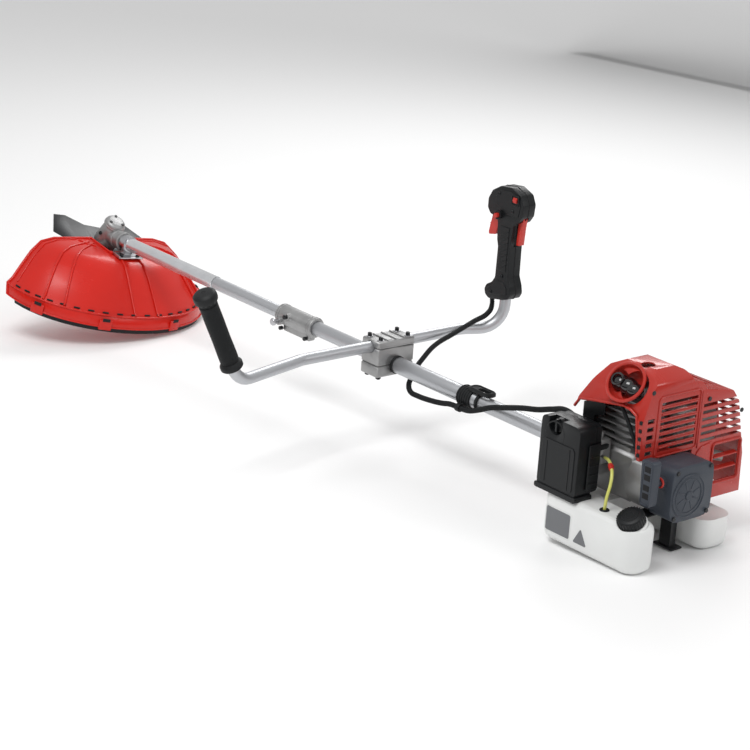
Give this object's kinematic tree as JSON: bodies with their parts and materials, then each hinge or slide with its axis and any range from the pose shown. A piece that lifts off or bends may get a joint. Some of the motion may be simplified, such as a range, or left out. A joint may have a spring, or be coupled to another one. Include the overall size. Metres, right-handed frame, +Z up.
{
  "type": "brush mower",
  "caption": "Petrol brush cutter with a bent twin-grip handlebar, split drive tube, toothed blade under a domed guard, and a small engine with a saddle tank.",
  "frame": {"origin": "centre of the bounding box at ground height", "axes": "+X runs along the machine from the blade to the engine, +Y is the operator's right, +Z is up"},
  "size_m": [1.8302, 0.753, 0.4663],
  "materials": {
    "black_plastic": "fine grain",
    "black_steel": "satin",
    "bright_tube": "satin",
    "cast_aluminium": "as cast",
    "fuel_hose": "satin",
    "grey_plastic": "fine grain",
    "red_button": "satin",
    "red_cover": "gloss",
    "red_guard": "gloss",
    "rubber": "matte",
    "steel": "machined",
    "tank_plastic": "milky"
  },
  "bodies": {
    "frame": {"air_cleaner_base": "black_plastic", "air_cleaner_cover": "black_plastic", "carburettor": "cast_aluminium", "clamp_base": "cast_aluminium", "clamp_block": "cast_aluminium", "clamp_bolt_1": "black_steel", "clamp_bolt_2": "black_steel", "clamp_bolt_3": "black_steel", "clamp_bolt_4": "black_steel", "clamp_cap": "cast_aluminium", "clutch_housing": "cast_aluminium", "coupler": "cast_aluminium", "crankcase": "cast_aluminium", "cylinder": "cast_aluminium", "engine_cover": "red_cover", "engine_stand": "black_steel", "fuel_hose": "fuel_hose", "fuel_tank": "tank_plastic", "gear_case": "cast_aluminium", "guard": "red_guard", "guard_bracket": "steel", "guard_screw_left": "black_steel", "guard_screw_right": "black_steel", "guard_skirt": "rubber", "handlebar": "bright_tube", "hanger_band": "rubber", "left_grip": "rubber", "lower_tube": "bright_tube", "muffler": "black_steel", "plug_cap": "rubber", "shaft_sleeve": "bright_tube", "spark_plug": "steel", "spindle_bearing": "steel", "starter_housing": "grey_plastic", "throttle_conduit": "rubber", "throttle_grip": "black_plastic", "upper_tube": "bright_tube"},
    "blade_set": {"blade": "black_steel", "blade_spindle": "steel", "driven_gear": "steel", "holder_flange": "steel", "clamping_cup": "steel", "blade_nut": "black_steel"},
    "drive_line": {"drive_shaft": "steel", "pinion_gear": "steel", "clutch_drum": "steel"},
    "crank_set": {"crankshaft": "steel", "flywheel": "cast_aluminium", "clutch_shoes": "black_steel"},
    "trigger": {"throttle_trigger": "red_button"},
    "lockout": {"lockout_lever": "red_button"},
    "rocker": {"stop_switch": "red_button"},
    "lock": {"lock_button": "red_button"},
    "pull_handle": {"starter_handle": "grey_plastic"},
    "reel": {"starter_reel": "black_plastic"},
    "choke": {"choke_lever": "black_plastic"},
    "knob": {"cover_knob": "black_plastic"},
    "cap": {"fuel_cap": "black_plastic"},
    "coupler_screw": {"coupler_knob": "steel"},
    "coupler_plunger": {"coupler_pin": "black_steel"}
  },
  "joints": [
    {"name": "blade_spin", "type": "hinge", "parent": "frame", "child": "blade_set", "pos_m": [-0.81101, 0.1005, 0.1902], "axis": [0.5338, 0.1205, 0.837], "continuous": true},
    {"name": "drive_shaft_spin", "type": "hinge", "parent": "frame", "child": "drive_line", "pos_m": [-0.81101, 0.1005, 0.1902], "axis": [0.9992, 0, -0.0399], "continuous": true},
    {"name": "crank_spin", "type": "hinge", "parent": "frame", "child": "crank_set", "pos_m": [0.11825, 0.1005, 0.15308], "axis": [0.9992, 0, -0.0399], "continuous": true},
    {"name": "throttle_squeeze", "type": "hinge", "parent": "frame", "child": "trigger", "pos_m": [0.1447, 0.3605, 0.41424], "axis": [0, -1, 0], "range_deg": [0, 16], "stiffness_Nm_per_rad": 0.4, "springref_deg": -5.73},
    {"name": "lockout_press", "type": "hinge", "parent": "frame", "child": "lockout", "pos_m": [0.21264, 0.3605, 0.41152], "axis": [0, 1, 0], "range_deg": [0, 8], "stiffness_Nm_per_rad": 0.4, "springref_deg": -5.73},
    {"name": "switch_rock", "type": "hinge", "parent": "frame", "child": "rocker", "pos_m": [0.20597, 0.348, 0.44482], "axis": [0.9992, 0, -0.0399], "range_deg": [-7, 7]},
    {"name": "lock_press", "type": "slide", "parent": "frame", "child": "lock", "axis": [0, 1, 0], "range_m": [0, 0.003], "stiffness_N_per_m": 300, "springref_m": -0.001},
    {"name": "starter_pull", "type": "slide", "parent": "frame", "child": "pull_handle", "axis": [0, -1, 0], "range_m": [0, 0.055], "stiffness_N_per_m": 60, "springref_m": -0.02},
    {"name": "reel_turn", "type": "hinge", "parent": "frame", "child": "reel", "pos_m": [0.88964, 0.1005, 0.12227], "axis": [0.9992, 0, -0.0399], "range_deg": [0, 135]},
    {"name": "choke_swing", "type": "hinge", "parent": "frame", "child": "choke", "pos_m": [0.7766, 0.0245, 0.17883], "axis": [0.9992, 0, -0.0399], "range_deg": [0, 60]},
    {"name": "cover_knob_turn", "type": "hinge", "parent": "frame", "child": "knob", "pos_m": [0.719, 0.00385, 0.2092], "axis": [0, -1, 0], "range_deg": [0, 180]},
    {"name": "fuel_cap_turn", "type": "hinge", "parent": "frame", "child": "cap", "pos_m": [0.88412, 0.0035, 0.08446], "axis": [0.0352, -0.4695, 0.8822], "range_deg": [0, 270]},
    {"name": "coupler_knob_turn", "type": "hinge", "parent": "frame", "child": "coupler_screw", "pos_m": [-0.1678, 0.07365, 0.1575], "axis": [0, -1, 0], "range_deg": [0, 180]},
    {"name": "coupler_pin_pull", "type": "slide", "parent": "frame", "child": "coupler_plunger", "axis": [0, -1, 0], "range_m": [0, 0.005], "stiffness_N_per_m": 400, "springref_m": -0.001}
  ],
  "couplings": [
    {"joint": "drive_shaft_spin", "follows": "blade_spin", "ratio": -1.3571},
    {"joint": "reel_turn", "follows": "starter_pull", "rad_per_m": 41.667}
  ]
}
